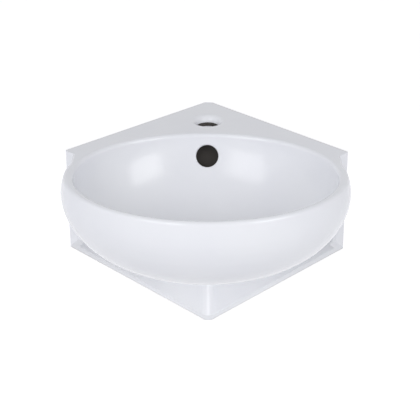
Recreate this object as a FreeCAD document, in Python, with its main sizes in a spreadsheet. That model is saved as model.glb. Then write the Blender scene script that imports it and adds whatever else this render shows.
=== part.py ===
import FreeCAD, Part
import math
import os
import re

import Sketcher
from FreeCAD import Placement, Rotation, Vector

# Corner basin with a push-open waste and its wall fixings. Millimetres.
# The origin is the corner of the two walls at the height of the deck; the room is towards -Y, up is +Z.
SIZES = {
    # wall wings
    "wing_length": 300,
    "wing_thickness": 10,
    "wing_end_height": 161,
    "corner_height": 421,
    "corner_flat": 12,
    "wing_inner_round": 16,
    "wing_lip_width": 24,
    "wing_lip_thickness": 11,
    "wing_end_round": 3.5,
    # deck
    "deck_thickness": 10,
    "deck_inset": 9.5,
    "deck_overlap": 20.5,
    # outside of the bowl
    "bowl_back": 295.5,
    "bowl_half_width": 208.5,
    "bowl_half_depth": 164.5,
    "bowl_floor": 28,
    "belly_drop": 26,
    "rim_tuck": 0.025,
    "outer_fullness": 1.95,
    "outer_floor_half_width": 50,
    "outer_floor_half_depth": 46,
    # inside of the bowl
    "rim_width_side": 18,
    "rim_width_front": 13.5,
    "rim_round": 5.2,
    "bowl_depth": 118,
    "inner_fullness": 2.8,
    "rear_fullness": 1.5,
    "floor_half_width": 40,
    "floor_half_depth": 36,
    # tap hole and overflow
    "tap_back": 88,
    "tap_radius": 17.5,
    "tap_roll": 10,
    "tap_boss_radius": 33,
    "tap_boss_thickness": 16,
    "overflow_drop": 33.5,
    "overflow_inset": 8,
    "overflow_radius": 17.2,
    "overflow_tilt": 25,
    "overflow_roll": 2,
    "duct_shift": 1,
    "duct_gap": 14,
    "duct_width": 52,
    "duct_foot_angle": 80,
    "duct_head_room": 3.5,
    "shell": 9,
    # outlet in the bowl's floor
    "waste_back": 275,
    "seat_recess": 4,
    "seat_clearance": 1.5,
    "outlet_clearance": 2.045,
    "outlet_floor": 10,
    "chamber_width": 11,
    "chamber_height": 12,
    "chamber_drop": 6,
    # waste fitting, G 1 1/4
    "thread_radius": 20.955,
    "thread_clearance": 0.05,
    "tube_wall": 3.455,
    "flange_width": 10.545,
    "flange_thickness": 3.5,
    "flange_bevel": 0.8,
    "flange_rim": 8,
    "dish_depth": 2.5,
    "cone_wall": 1.455,
    "cone_depth": 6,
    "slot_width": 14,
    "slot_inset": 1,
    "top_seal_thickness": 2,
    "top_seal_inset": 1,
    "seal_clearance": 0.3,
    "lower_seal_width": 12.745,
    "lower_seal_thickness": 4,
    "slip_washer_width": 11.745,
    "slip_washer_thickness": 1.5,
    "back_nut_wall": 5.045,
    "back_nut_height": 9,
    "nut_bevel_angle": 30,
    "nut_bevel_inset": 0.3,
    "relief_gap": 1,
    "relief_width": 1,
    "relief_depth": 1,
    "tail_free": 14.5,
    "hub_gap": 8,
    "hub_height": 12,
    "hub_wall": 3,
    "spoke_width": 4,
    "spoke_root": 1,
    # latch cartridge
    "stem_radius": 4.5,
    "running_gap": 0.08,
    "axial_gap": 0.1,
    "housing_top_drop": 2,
    "housing_wall": 1.9,
    "housing_shoulder": 1,
    "housing_bevel": 1,
    "guide_length": 10,
    "latch_ring_width": 3.1,
    "latch_ring_edge": 1.4,
    "latch_ball_radius": 1.5,
    "ball_standoff": 0.7,
    "pocket_gap": 0.1,
    "groove_legs": 6,
    "snap_ring_thickness": 1,
    "snap_ring_bite": 0.8,
    "snap_ring_clearance": 0.8,
    "base_flange": 1.5,
    "base_depth": 5,
    "spring_wire": 1,
    "spring_turns": 6,
    "spring_shut_length": 11.4,
    "spring_clearance": 1.5,
    "spring_end_gap": 0.05,
    # plug
    "plug_travel": 9,
    "collar_clearance": 0.7,
    "collar_height": 2.5,
    "pilot_length": 8,
    "pilot_clearance": 1.7,
    "pilot_gap": 0.6,
    "stem_flange_radius": 10,
    "stem_flange_height": 1.5,
    "spigot_step": 1.5,
    "plug_seal_height": 3,
    "plug_seal_gap": 0.3,
    "cap_clearance": 0.7,
    "cap_edge": 2,
    "cap_crown": 1.4,
    "cap_socket": 2,
    "cap_edge_round": 1.2,
    "cap_seat_gap": 0.2,
    # wall fixings
    "fixing_along": 155,
    "fixing_drop": 150,
    "bolt_radius": 5,
    "bolt_depth": 55,
    "bolt_point": 6,
    "bolt_bevel": 1,
    "bolt_end": 9,
    "wall_plug_wall": 2,
    "wall_plug_bottom": 5,
    "wall_gap": 0.3,
    "sleeve_wall": 4,
    "sleeve_flange_width": 5,
    "sleeve_flange_height": 2.5,
    "fixing_washer_width": 6.5,
    "fixing_washer_height": 1.5,
    "fixing_nut_wall": 3.5,
    "fixing_nut_height": 8,
    "cover_wall": 1.4,
    "cover_room": 5.5,
    "cover_round": 5,
}

# What fits or lines up with something else, from the sizes above. Heights on the waste fitting, the latch
# and the plug are from the china seat under the flange; those on a wall fixing are from the wall's face.
FITS = {
    # china
    "deck_half_width": "bowl_half_width - deck_inset",
    "deck_side_reach": "bowl_back - deck_overlap",
    "bowl_height": "bowl_depth + bowl_floor",
    "bowl_rear": "bowl_back - bowl_half_depth",
    "bowl_front": "bowl_back + bowl_half_depth",
    "opening_half_width": "bowl_half_width - rim_width_side",
    "opening_half_depth": "bowl_half_depth - rim_width_front",
    "overflow_back": "bowl_back - opening_half_depth + overflow_inset",
    "seat_depth": "bowl_depth + seat_recess",
    "seat_radius": "flange_radius + seat_clearance",
    "outlet_radius": "thread_radius + outlet_clearance",
    "outlet_thickness": "chamber_drop + chamber_height + outlet_floor",
    "chamber_radius": "outlet_radius + chamber_width",
    "boss_radius": "chamber_radius + shell",
    "duct_back": "waste_back - duct_shift",
    "duct_radius": "waste_back - bowl_rear",
    "duct_foot": "seat_depth + chamber_drop + chamber_height / 2",
    "duct_up": "duct_radius * sin(duct_foot_angle * 1deg) - duct_foot",
    # waste fitting
    "waste_bore": "thread_radius - tube_wall",
    "flange_radius": "thread_radius + flange_width",
    "dish_radius": "flange_radius - flange_rim",
    "cone_radius": "thread_radius - cone_wall",
    "cone_lean": "(cone_radius - waste_bore) / cone_depth",
    "flange_top": "top_seal_thickness + flange_thickness",
    "dish_floor": "flange_top - dish_depth",
    "seal_bore": "thread_radius + seal_clearance",
    "seal_low": "-outlet_thickness - lower_seal_thickness",
    "slip_low": "seal_low - slip_washer_thickness",
    "nut_low": "slip_low - back_nut_height",
    "relief_top": "nut_low - relief_gap",
    "tail_end": "nut_low - tail_free",
    "slot_top": "-chamber_drop - slot_inset",
    "slot_low": "slot_inset - chamber_drop - chamber_height",
    "hub_top": "-chamber_drop - chamber_height - hub_gap",
    "hub_low": "hub_top - hub_height",
    "hub_radius": "housing_thread_radius + hub_wall",
    # latch cartridge
    "guide_radius": "stem_radius + running_gap",
    "housing_bore": "stem_radius + latch_ring_width",
    "housing_thread_radius": "housing_bore + housing_wall",
    "housing_thread_low": "housing_thread_radius - thread_clearance",
    "housing_radius": "housing_thread_radius + housing_shoulder",
    "latch_ring_height": "2 * (latch_ball_radius + latch_ring_edge)",
    "latch_top": "-housing_top_drop - guide_length - axial_gap",
    "latch_low": "latch_top - latch_ring_height",
    "ball_height": "latch_top - latch_ring_height / 2",
    "ball_reach": "stem_radius + ball_standoff",
    "groove_radius": "latch_ball_radius + running_gap",
    "groove_pitch": "plug_travel * groove_legs",
    "pocket_radius": "latch_ball_radius + pocket_gap",
    "snap_top": "latch_low - axial_gap",
    "snap_low": "snap_top - snap_ring_thickness",
    "snap_ring_inner": "stem_radius + snap_ring_clearance",
    "snap_groove": "housing_bore + snap_ring_bite",
    "base_top": "collar_low - plug_travel - spring_shut_length",
    "base_pilot": "spring_shut_length - pilot_length - pilot_gap",
    "housing_low": "base_top - base_depth",
    "spring_radius": "housing_bore - spring_clearance - spring_wire / 2",
    # plug
    "collar_radius": "housing_bore - collar_clearance",
    "collar_top": "snap_low - axial_gap",
    "collar_low": "collar_top - collar_height",
    "pilot_radius": "spring_radius - spring_wire / 2 - pilot_clearance",
    "cap_underside": "dish_floor + cap_seat_gap + plug_travel",
    "cap_radius": "dish_radius - cap_clearance",
    "socket_top": "cap_underside + cap_socket",
    "plug_seal_low": "cap_underside - plug_seal_height",
    "plug_seal_radius": "cone_radius - plug_seal_gap",
    "stem_flange_low": "plug_seal_low - stem_flange_height",
    "spigot_radius": "stem_radius - spigot_step",
    # wall fixings
    "bolt_bore": "bolt_radius + running_gap",
    "bolt_reach": "fixing_nut_low + fixing_nut_height + bolt_end",
    "wall_plug_radius": "bolt_radius + wall_plug_wall",
    "wall_plug_end": "-wall_gap - bolt_depth - wall_plug_bottom",
    "fixing_hole": "bolt_radius + sleeve_wall",
    "sleeve_flange_radius": "fixing_hole + sleeve_flange_width",
    "sleeve_front": "wing_thickness + sleeve_flange_height",
    "fixing_washer_radius": "bolt_radius + fixing_washer_width",
    "fixing_nut_low": "sleeve_front + fixing_washer_height",
    "cover_inside": "fixing_washer_radius + wall_gap",
    "cover_outside": "cover_inside + cover_wall",
    "cover_top": "bolt_reach + cover_room",
}

SIDE_NAMES = {1: "right", -1: "left"}
OUTER_SHARES = (0.3, 0.55, 0.75, 0.9, 0.98, 1.0)
INNER_SHARES = (0.0, 0.13, 0.3, 0.5, 0.68, 0.83, 0.93, 0.98, 1.0)
WASTE_AT = ("0", "-waste_back", "-seat_depth")
PICK_ROOM = 0.1

doc = FreeCAD.newDocument("corner_basin")
sheet = doc.addObject("Spreadsheet::Sheet", "Size")
for row, (alias, number) in enumerate(SIZES.items(), 1):
    sheet.set(f"A{row}", alias)
    sheet.set(f"B{row}", str(number))
    sheet.setAlias(f"B{row}", alias)
doc.recompute()


def bound(text):
    """The expression with its fits worked out and each size's name pointing at its cell."""
    def written_out(word):
        name = word[0]
        if name in FITS:
            return f"({bound(FITS[name])})"
        return f"Size.{name}" if name in SIZES else name

    return re.sub(r"[a-z_]+", written_out, text)


def size(text):
    """The expression's value now."""
    value = sheet.evalExpression(bound(text))
    return float(getattr(value, "Value", value))


def bind(thing, prop, text):
    thing.setExpression(prop, bound(text))


def new_body(name, at=("0", "0", "0")):
    """An empty body, placed at three bound sizes."""
    body = doc.addObject("PartDesign::Body", name)
    body.Label = name
    for axis, text in zip("xyz", at):
        bind(body, f"Placement.Base.{axis}", text)
    return body


def sketch_on(body, plane, name, shift="0"):
    """A sketch on one of the body's own planes, moved along the plane's normal."""
    sketch = body.newObject("Sketcher::SketchObject", name)
    base = next(item for item in body.Origin.OriginFeatures if item.Role == plane)
    sketch.AttachmentSupport = [(base, "")]
    sketch.MapMode = "FlatFace"
    bind(sketch, "AttachmentOffset.Base.z", shift)
    return sketch


def constrain(sketch, kind, *references, text):
    """A dimension bound to a size."""
    index = sketch.addConstraint(Sketcher.Constraint(kind, *references, size(text)))
    bind(sketch, f"Constraints[{index}]", text)


def pin(sketch, curve, end, across, up):
    """Places one point of a curve from the sketch's origin."""
    origin = (-1, 1)
    constrain(sketch, "DistanceX", *origin, curve, end, text=across)
    constrain(sketch, "DistanceY", *origin, curve, end, text=up)


def outline(sketch, corners):
    """A closed outline of straight runs between bound corners."""
    points = [Vector(size(across), size(up), 0) for across, up in corners]
    curves = [
        sketch.addGeometry(Part.LineSegment(here, there))
        for here, there in zip(points, points[1:] + points[:1])
    ]
    for curve, following, (across, up) in zip(curves, curves[1:] + curves[:1], corners):
        sketch.addConstraint(Sketcher.Constraint("Coincident", curve, 2, following, 1))
        pin(sketch, curve, 1, across, up)


def circle(sketch, across, up, radius):
    centre = Vector(size(across), size(up), 0)
    curve = sketch.addGeometry(Part.Circle(centre, Vector(0, 0, 1), size(radius)))
    pin(sketch, curve, 3, across, up)
    constrain(sketch, "Radius", curve, text=radius)


def ellipse(sketch, up, half_width, half_depth):
    """An ellipse on the sketch's upright axis, wider than it is deep."""
    centre = Vector(0, size(up), 0)
    wide = centre + Vector(size(half_width), 0, 0)
    deep = centre + Vector(0, size(half_depth), 0)
    curve = sketch.addGeometry(Part.Ellipse(wide, deep, centre))
    sketch.exposeInternalGeometry(curve)
    major, minor = curve + 1, curve + 2
    pin(sketch, curve, 3, "0", up)
    sketch.addConstraint(Sketcher.Constraint("Horizontal", major))
    constrain(sketch, "Distance", major, text=f"2 * ({half_width})")
    constrain(sketch, "Distance", minor, text=f"2 * ({half_depth})")


def feature(body, kind, name, profile=None):
    item = body.newObject(f"PartDesign::{kind}", name)
    if profile is not None:
        item.Profile = profile
    return item


def settled(item):
    """Recomputes, and stops if an additive or subtractive feature changed nothing."""
    doc.recompute()
    base = item.BaseFeature
    if base is not None and abs(item.Shape.Volume - base.Shape.Volume) < 1e-6:
        raise RuntimeError(f"{item.Name} changes nothing")
    return item


def pad(body, name, sketch, length, down=False, both=False, kind="Pad"):
    item = feature(body, kind, name, sketch)
    bind(item, "Length", length)
    item.Reversed = down
    item.SideType = "Symmetric" if both else "One side"
    return settled(item)


def pocket(body, name, sketch, length, up=False, both=False):
    return pad(body, name, sketch, length, up, both, "Pocket")


def turn(body, name, corners, kind="Revolution"):
    """A closed profile of (radius, height) corners turned round the body's upright axis."""
    sketch = sketch_on(body, "XZ_Plane", f"{name}_profile")
    outline(sketch, corners)
    item = feature(body, kind, name, sketch)
    item.ReferenceAxis = (sketch, ["V_Axis"])
    item.Angle = 360
    return settled(item)


def turned(name, corners, at=("0", "0", "0")):
    """A whole piece turned from one profile."""
    body = new_body(name, at)
    turn(body, f"{name}_turn", corners)
    return body


def ring(inner, outer, low, high):
    """Profile of a plain ring."""
    return [(inner, low), (outer, low), (outer, high), (inner, high)]


def fillet(body, name, radius, wanted):
    """Rounds the edges of the body's tip that the test picks."""
    tip = body.Tip
    names = [f"Edge{k}" for k, edge in enumerate(tip.Shape.Edges, 1) if wanted(edge)]
    item = feature(body, "Fillet", name)
    item.Base = (tip, names)
    bind(item, "Radius", radius)
    return settled(item)


def within(edge, low, high):
    """Is the whole edge inside a box of two corners?"""
    box = edge.BoundBox
    return (
        low[0] <= box.XMin and box.XMax <= high[0]
        and low[1] <= box.YMin and box.YMax <= high[1]
        and low[2] <= box.ZMin and box.ZMax <= high[2]
    )


def on_wing(side, along, off):
    """Plan position on a wing: so far along the wall and so far off it."""
    return f"{side} * (({along}) - ({off})) / sqrt(2)", f"-(({along}) + ({off})) / sqrt(2)"


def curve_share(fullness, share):
    """How much of its width a bowl keeps at a share of its depth."""
    return f"(1 - {share} ^ {fullness}) ^ (1 / {fullness})"


def bowl_section(body, name, drop, half_width, rear, front):
    """One level of a bowl: an ellipse between a rear and a front distance from the corner."""
    sketch = sketch_on(body, "XY_Plane", name, f"-({drop})")
    ellipse(sketch, f"-(({front}) + ({rear})) / 2", half_width, f"(({front}) - ({rear})) / 2")
    return sketch


# ---------------------------------------------------------------- the china

def build_wings(body):
    """Two slabs against the walls, a deeper lip at each far end, the lower edge cut along one slope."""
    plan = sketch_on(body, "XY_Plane", "wing_plan")
    ends = [on_wing(side, "wing_length", off) for side, off in
            (("1", "0"), ("1", "wing_thickness"), ("-1", "wing_thickness"), ("-1", "0"))]
    inner = ("0", "-wing_thickness * sqrt(2)")
    flat = [("-corner_flat / 2", "-corner_flat / 2"), ("corner_flat / 2", "-corner_flat / 2")]
    outline(plan, flat + ends[:2] + [inner] + ends[2:])
    pad(body, "wings", plan, "corner_height", down=True)
    for side in (1, -1):
        lip = sketch_on(body, "XY_Plane", f"wing_lip_{SIDE_NAMES[side]}")
        inner_end = "wing_length - wing_lip_thickness"
        cut = "wing_end_round"
        corners = (("wing_length", "0"), ("wing_length", f"wing_lip_width - {cut}"),
                   (f"wing_length - {cut}", "wing_lip_width"), (f"{inner_end} + {cut}", "wing_lip_width"),
                   (inner_end, f"wing_lip_width - {cut}"), (inner_end, "0"))
        outline(lip, [on_wing(str(side), along, off) for along, off in corners])
        pad(body, f"wing_end_{SIDE_NAMES[side]}", lip, "corner_height", down=True)
    slope = sketch_on(body, "YZ_Plane", "wing_slope")
    rise = "(corner_height - wing_end_height) / (wing_length / sqrt(2))"
    far = "(wing_length + 2 * wing_lip_width) / sqrt(2)"
    outline(slope, [
        ("0", "-corner_height"),
        (f"-{far}", f"-corner_height + {rise} * {far}"),
        (f"-{far}", "-corner_height - wing_thickness"),
        ("0", "-corner_height - wing_thickness"),
    ])
    pocket(body, "wing_slopes", slope, "2 * wing_length", both=True)
    inner_y = -size("wing_thickness * sqrt(2)")
    low = -size("corner_height") - PICK_ROOM
    fillet(body, "wing_inner_rounds", "wing_inner_round", lambda edge: within(
        edge, (-PICK_ROOM, inner_y - PICK_ROOM, low), (PICK_ROOM, inner_y + PICK_ROOM, PICK_ROOM)))
    reach = size("(wing_length - wing_thickness) / sqrt(2)") - PICK_ROOM
    fillet(body, "wing_end_rounds", "wing_end_round", lambda edge: (
        abs(edge.BoundBox.Center.x) > reach and edge.BoundBox.XLength < PICK_ROOM))


def build_deck(body):
    """Flat deck between the wings and the bowl."""
    plan = sketch_on(body, "XY_Plane", "deck_plan")
    behind = "wing_thickness / sqrt(2)"
    outline(plan, [
        ("0", f"-{behind}"),
        ("deck_half_width", f"-deck_half_width - {behind}"),
        ("deck_half_width", "-deck_side_reach"),
        ("0", "-bowl_back"),
        ("-deck_half_width", "-deck_side_reach"),
        ("-deck_half_width", f"-deck_half_width - {behind}"),
    ])
    pad(body, "deck", plan, "deck_thickness", down=True)


def build_bowl_outside(body):
    """Bellied ellipses from the rim down to a small flat floor round the outlet."""
    rear, front = "bowl_rear", "bowl_front"
    sections = []
    for name, share in (("rim", "1"), ("belly_upper", "0.5"), ("belly", "0")):
        tuck = f"rim_tuck * {share} ^ 2"
        narrow = f"bowl_half_depth * {tuck}"
        sections.append(bowl_section(
            body, f"outside_{name}", f"belly_drop * (1 - {share})", f"bowl_half_width * (1 - {tuck})",
            f"{rear} + {narrow}", f"{front} - {narrow}"))
    for number, share in enumerate(OUTER_SHARES):
        keep = curve_share("outer_fullness", share)
        floor_rear = "waste_back - outer_floor_half_depth"
        floor_front = "waste_back + outer_floor_half_depth"
        sections.append(bowl_section(
            body, f"outside_{number}", f"belly_drop + (bowl_height - belly_drop) * {share}",
            f"outer_floor_half_width + (bowl_half_width - outer_floor_half_width) * {keep}",
            f"{floor_rear} + ({rear} - ({floor_rear})) * {keep}",
            f"{floor_front} + ({front} - ({floor_front})) * {keep}"))
    loft = feature(body, "AdditiveLoft", "bowl_outside", sections[0])
    loft.Sections = sections[1:]
    settled(loft)


def duct_band(body, name, half_thickness, head_drop):
    """Side view of the overflow duct: a band between two arcs, from its foot at the outlet up to its head."""
    sketch = sketch_on(body, "YZ_Plane", name)
    centre = Vector(-size("duct_back"), size("duct_up"), 0)
    foot_angle = -math.radians(size("duct_foot_angle"))
    arcs = []
    for sign in ("-", "+"):
        radius = f"(duct_radius {sign} {half_thickness})"
        head_angle = -math.asin(size(f"(duct_up + {head_drop}) / {radius}"))
        whole = Part.Circle(centre, Vector(0, 0, 1), size(radius))
        arc = sketch.addGeometry(Part.ArcOfCircle(whole, foot_angle, head_angle))
        pin(sketch, arc, 3, "-duct_back", "duct_up")
        pin(sketch, arc, 1, f"{radius} * cos(duct_foot_angle * 1deg) - duct_back",
            f"duct_up - {radius} * sin(duct_foot_angle * 1deg)")
        constrain(sketch, "DistanceY", -1, 1, arc, 2, text=f"-({head_drop})")
        arcs.append(arc)
    for end in (1, 2):
        line = sketch.addGeometry(Part.LineSegment(*[sketch.getPoint(arc, end) for arc in arcs]))
        for line_end, arc in zip((1, 2), arcs):
            sketch.addConstraint(Sketcher.Constraint("Coincident", line, line_end, arc, end))
    return sketch


def build_bowl_inside(body):
    """Hollows the bowl: upright at the front, leaning at the rear, nearly flat round the outlet."""
    rear, front = "bowl_back - opening_half_depth", "bowl_back + opening_half_depth"
    floor_rear = "waste_back - floor_half_depth"
    floor_front = "waste_back + floor_half_depth"
    sections = []
    for number, share in enumerate(INNER_SHARES):
        side_keep = curve_share("inner_fullness", share)
        rear_keep = curve_share("rear_fullness", share)
        sections.append(bowl_section(
            body, f"inside_{number}", f"bowl_depth * {share}",
            f"floor_half_width + (opening_half_width - floor_half_width) * {side_keep}",
            f"{floor_rear} + ({rear} - ({floor_rear})) * {rear_keep}",
            f"{floor_front} + ({front} - ({floor_front})) * {side_keep}"))
    loft = feature(body, "SubtractiveLoft", "bowl_inside", sections[0])
    loft.Sections = sections[1:]
    settled(loft)


def build_outlet(body):
    """Thick outlet: a seat for the flange, the waste hole and a ring-shaped overflow chamber round it."""
    seat = sketch_on(body, "XY_Plane", "seat_plan", "-seat_depth")
    circle(seat, "0", "-waste_back", "seat_radius")
    pocket(body, "seat", seat, "seat_depth", up=True)
    hole = sketch_on(body, "XY_Plane", "outlet_plan")
    circle(hole, "0", "-waste_back", "outlet_radius")
    pocket(body, "outlet", hole, "2 * bowl_height")
    chamber = sketch_on(body, "XY_Plane", "chamber_plan", "-seat_depth - chamber_drop")
    circle(chamber, "0", "-waste_back", "chamber_radius")
    pocket(body, "overflow_chamber", chamber, "chamber_height")


def drill(body, name, radius, length, at, tilt_axis, tilt):
    """A round hole from a point, along +Z tilted round a level axis."""
    item = feature(body, "SubtractiveCylinder", name)
    bind(item, "Radius", radius)
    bind(item, "Height", length)
    item.Placement = Placement(Vector(), Rotation(tilt_axis, size(tilt)))
    for axis, text in zip("xyz", at):
        bind(item, f"Placement.Base.{axis}", text)
    bind(item, "Placement.Rotation.Angle", f"({tilt}) * 1deg")
    return settled(item)


def build_overflow(body):
    """Round overflow hole through the leaning rear wall, into the duct behind it."""
    head_drop = "(overflow_drop - overflow_radius + duct_head_room)"
    band = duct_band(body, "duct_hollow", "duct_gap / 2", head_drop)
    pocket(body, "duct_inside", band, "duct_width", both=True)
    tilt = "overflow_tilt * 1deg"
    start = ("0", f"-overflow_back - shell * cos({tilt})", f"-overflow_drop + shell * sin({tilt})")
    drill(body, "overflow", "overflow_radius", "2 * shell + duct_gap / 2", start,
          Vector(1, 0, 0), "-(90 + overflow_tilt)")
    round_overflow(body)


def build_tap_hole(body):
    """Tap hole in a thick boss of the deck, its edge rolled in by the glaze."""
    boss = sketch_on(body, "XY_Plane", "tap_boss_plan")
    circle(boss, "0", "-tap_back", "tap_boss_radius")
    pad(body, "tap_boss", boss, "tap_boss_thickness", down=True)
    plan = sketch_on(body, "XY_Plane", "tap_plan")
    circle(plan, "0", "-tap_back", "tap_radius")
    pocket(body, "tap_hole", plan, "2 * tap_boss_thickness")
    round_hole(body, "tap_edge", "tap_roll", "tap_back", "tap_radius", "tap_radius")


def build_fixing_holes(body):
    """One plain hole square through each wing."""
    for side in (1, -1):
        across, back = on_wing(str(side), "fixing_along", "-wall_gap")
        drill(body, f"fixing_{SIDE_NAMES[side]}", "fixing_hole", "wing_thickness + 2 * wall_gap",
              (across, back, "-fixing_drop"), Vector(1, -side, 0), "90")


def off_walls(edge):
    """How far the middle of an edge is from the nearer wall."""
    middle = edge.valueAt((edge.FirstParameter + edge.LastParameter) / 2)
    return (-middle.y - abs(middle.x)) / math.sqrt(2)


def round_outer_rim(body):
    """Rolls the rim's outer edge and the deck's two side edges, clear of the wings."""
    clear = size("wing_thickness * 1.5")
    fillet(body, "rim_outside", "rim_round", lambda edge: (
        edge.BoundBox.ZMin > -PICK_ROOM and off_walls(edge) > clear))


def round_hole(body, name, radius, back, half_width, half_depth):
    """Rolls a hole's edge where it meets the deck."""
    y = -size(back)
    wide, deep = size(half_width) + PICK_ROOM, size(half_depth) + PICK_ROOM
    fillet(body, name, radius, lambda edge: within(
        edge, (-wide, y - deep, -PICK_ROOM), (wide, y + deep, PICK_ROOM)))


def round_overflow(body):
    """Softens the overflow hole's edge inside the bowl."""
    reach = size("overflow_radius") + PICK_ROOM
    front = -size("overflow_back + overflow_radius")
    rear = -size("overflow_back - overflow_radius")
    low, high = -size("overflow_drop + overflow_radius"), -size("overflow_drop - overflow_radius")
    fillet(body, "overflow_edge", "overflow_roll", lambda edge: (
        within(edge, (-reach, front, low), (reach, rear, high)) and edge.BoundBox.XLength > reach))


def build_duct_outside(body):
    """The outlet's thick boss and the duct's rounded back, both proud of the bowl's underside."""
    boss = sketch_on(body, "XY_Plane", "boss_plan", "-seat_depth - outlet_thickness")
    circle(boss, "0", "-waste_back", "boss_radius")
    pad(body, "outlet_boss", boss, "outlet_thickness")
    band = duct_band(body, "duct_shell", "(duct_gap / 2 + shell)", "deck_thickness / 2")
    pad(body, "duct_outside", band, "duct_width + 2 * shell", both=True)


def build_basin():
    """The whole casting, one fired piece of glazed china."""
    body = new_body("basin_body")
    build_deck(body)
    build_wings(body)
    build_bowl_outside(body)
    round_outer_rim(body)
    build_duct_outside(body)
    build_bowl_inside(body)
    round_hole(body, "rim_inside", "rim_round", "bowl_back", "opening_half_width", "opening_half_depth")
    build_outlet(body)
    build_overflow(body)
    build_tap_hole(body)
    build_fixing_holes(body)
    return body


# ---------------------------------------------------------------- the waste fitting

def build_spokes(body):
    """Three spokes that carry the hub inside the tube."""
    plan = sketch_on(body, "XY_Plane", "spoke_plan", "hub_top")
    inside, outside = "(hub_radius - spoke_root)", "(waste_bore + spoke_root)"
    outline(plan, [(inside, "-spoke_width / 2"), (outside, "-spoke_width / 2"),
                   (outside, "spoke_width / 2"), (inside, "spoke_width / 2")])
    spoke = pad(body, "spoke", plan, "hub_height", down=True)
    pattern = feature(body, "PolarPattern", "spoke_pattern")
    pattern.Originals = [spoke]
    upright = next(item for item in body.Origin.OriginFeatures if item.Role == "Z_Axis")
    pattern.Axis = (upright, [""])
    pattern.Angle = 360
    pattern.Occurrences = 3
    body.Tip = pattern
    settled(pattern)


def build_waste_body():
    """Flanged brass tube, threaded outside, with overflow slots and a threaded hub on spokes."""
    body = turned("waste_body", [
        ("waste_bore", "tail_end"),
        ("thread_radius", "tail_end"),
        ("thread_radius", "relief_top - relief_width"),
        ("thread_radius - relief_depth", "relief_top - relief_width"),
        ("thread_radius - relief_depth", "relief_top"),
        ("thread_radius", "relief_top"),
        ("thread_radius", "top_seal_thickness"),
        ("flange_radius", "top_seal_thickness"),
        ("flange_radius", "flange_top - flange_bevel"),
        ("flange_radius - 2 * flange_bevel", "flange_top"),
        ("dish_radius", "flange_top"),
        ("dish_radius", "dish_floor"),
        ("cone_radius", "dish_floor"),
        ("waste_bore", "dish_floor - cone_depth"),
    ], WASTE_AT)
    for plane, name in (("XZ_Plane", "slots_front"), ("YZ_Plane", "slots_side")):
        side = sketch_on(body, plane, f"{name}_plan")
        outline(side, [("-slot_width / 2", "slot_low"), ("slot_width / 2", "slot_low"),
                       ("slot_width / 2", "slot_top"), ("-slot_width / 2", "slot_top")])
        pocket(body, name, side, "4 * thread_radius", both=True)
    build_spokes(body)
    turn(body, "hub", ring("housing_thread_radius", "hub_radius", "hub_low", "hub_top"))
    return body


def hexagon_nut(name, half_flats, bore, low, height, at):
    """A hexagon nut with its upper corners bevelled."""
    body = new_body(name, at)
    plan = sketch_on(body, "XY_Plane", f"{name}_plan", low)
    half = f"({half_flats})"
    point = f"(2 * {half} / sqrt(3))"
    outline(plan, [(point, "0"), (f"{point} / 2", half), (f"-{point} / 2", half),
                   (f"-{point}", "0"), (f"-{point} / 2", f"-{half}"), (f"{point} / 2", f"-{half}")])
    circle(plan, "0", "0", bore)
    pad(body, f"{name}_hexagon", plan, height)
    top = f"({low} + {height})"
    drop = f"{half} * tan(nut_bevel_angle * 1deg)"
    turn(body, f"{name}_bevel", [
        (f"{half} - nut_bevel_inset", top), (f"2 * {half}", top), (f"2 * {half}", f"{top} - {drop}"),
    ], "Groove")
    return body


def build_waste():
    """The waste with its seals, washer and nut, clamped through the china."""
    top_seal = ring("seal_bore", "flange_radius - top_seal_inset", "0", "top_seal_thickness")
    lower_seal = ring("seal_bore", "seal_bore + lower_seal_width", "seal_low", "-outlet_thickness")
    slip_washer = ring("seal_bore", "seal_bore + slip_washer_width", "slip_low", "seal_low")
    return [
        build_waste_body(),
        turned("waste_top_seal", top_seal, WASTE_AT),
        turned("waste_lower_seal", lower_seal, WASTE_AT),
        turned("waste_slip_washer", slip_washer, WASTE_AT),
        hexagon_nut("waste_back_nut", "thread_radius + back_nut_wall", "thread_radius + thread_clearance",
                    "nut_low", "back_nut_height", WASTE_AT),
    ]


# ---------------------------------------------------------------- the push-open latch

def build_housing():
    """Barrel screwed into the hub, with a guide bore, the latch ring's bore and a snap ring groove."""
    return turned("cartridge_housing", [
        ("guide_radius", "-housing_top_drop"),
        ("housing_radius - housing_bevel", "-housing_top_drop"),
        ("housing_radius", "-housing_top_drop - housing_bevel"),
        ("housing_radius", "hub_top"),
        ("housing_thread_low", "hub_top"),
        ("housing_thread_low", "housing_low"),
        ("housing_bore", "housing_low"),
        ("housing_bore", "snap_low - axial_gap / 2"),
        ("snap_groove", "snap_low - axial_gap / 2"),
        ("snap_groove", "snap_top + axial_gap / 2"),
        ("housing_bore", "snap_top + axial_gap / 2"),
        ("housing_bore", "-housing_top_drop - guide_length"),
        ("guide_radius", "-housing_top_drop - guide_length"),
    ], WASTE_AT)


def build_latch():
    """Ring with one ball in a radial hole: it turns as the ball climbs the stem's zigzag groove."""
    latch_ring = turned("latch_ring", ring(
        "guide_radius", "housing_bore - running_gap", "latch_low", "latch_top"), WASTE_AT)
    drill(latch_ring, "ball_hole", "latch_ball_radius + thread_clearance", "housing_bore",
          ("0", "0", "ball_height"), Vector(0, 1, 0), "90")
    ball = doc.addObject("Part::Sphere", "latch_ball")
    bind(ball, "Radius", "latch_ball_radius")
    for axis, base, shift in zip("xyz", WASTE_AT, ("ball_reach", "0", "ball_height")):
        bind(ball, f"Placement.Base.{axis}", f"{base} + {shift}")
    return [latch_ring, ball]


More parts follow.
